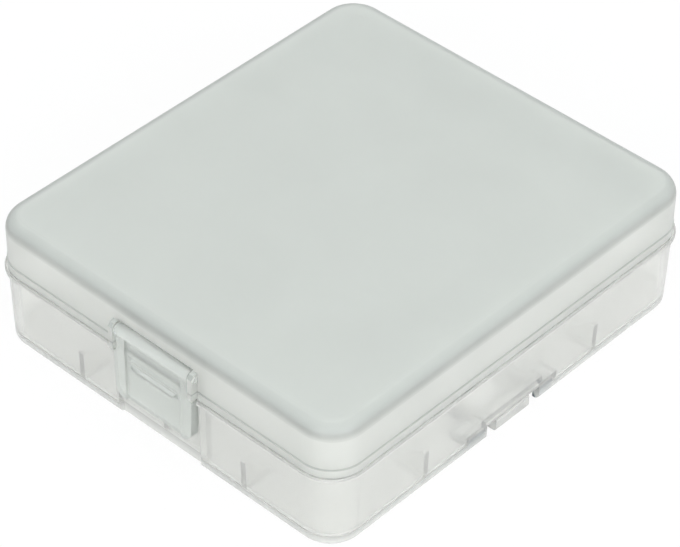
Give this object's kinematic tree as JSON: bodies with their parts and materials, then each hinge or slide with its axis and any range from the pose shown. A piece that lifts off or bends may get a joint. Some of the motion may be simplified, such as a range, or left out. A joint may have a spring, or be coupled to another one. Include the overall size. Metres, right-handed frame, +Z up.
{
  "type": "hinged-lid battery case",
  "caption": "Flat frosted plastic case with a hinged lid, a front snap latch, cell fins inside and a fold-out hanging loop in its underside.",
  "frame": {"origin": "middle of the tray's underside, half way along and across the rim", "axes": "+Z up through the lid, -Y towards the latch, +Y towards the lid's hinge, +X towards the hanging loop"},
  "size_m": [0.0718, 0.0851, 0.0233],
  "materials": {
    "base_tray": "frosted colourless polypropylene, as moulded",
    "lid": "frosted colourless polypropylene, fine matt top",
    "latch": "frosted colourless polypropylene, as moulded",
    "hanging_loop": "frosted colourless polypropylene, as moulded"
  },
  "bodies": {
    "base": {"base_tray": "base_tray"},
    "lid": {"lid": "lid"},
    "latch": {"latch": "latch"},
    "hanger": {"hanging_loop": "hanging_loop"}
  },
  "joints": [
    {"name": "lid_hinge", "type": "hinge", "parent": "base", "child": "lid", "pos_m": [0, 0.0424, 0.0144], "axis": [-1, 0, 0], "range_deg": [0, 180]},
    {"name": "latch_hinge", "type": "hinge", "parent": "lid", "child": "latch", "pos_m": [0, -0.04005, 0.018], "axis": [-1, 0, 0], "range_deg": [0, 110]},
    {"name": "hanger_hinge", "type": "hinge", "parent": "base", "child": "hanger", "pos_m": [0.0332, 0, 0.0014], "axis": [0, -1, 0], "range_deg": [0, 180]}
  ]
}
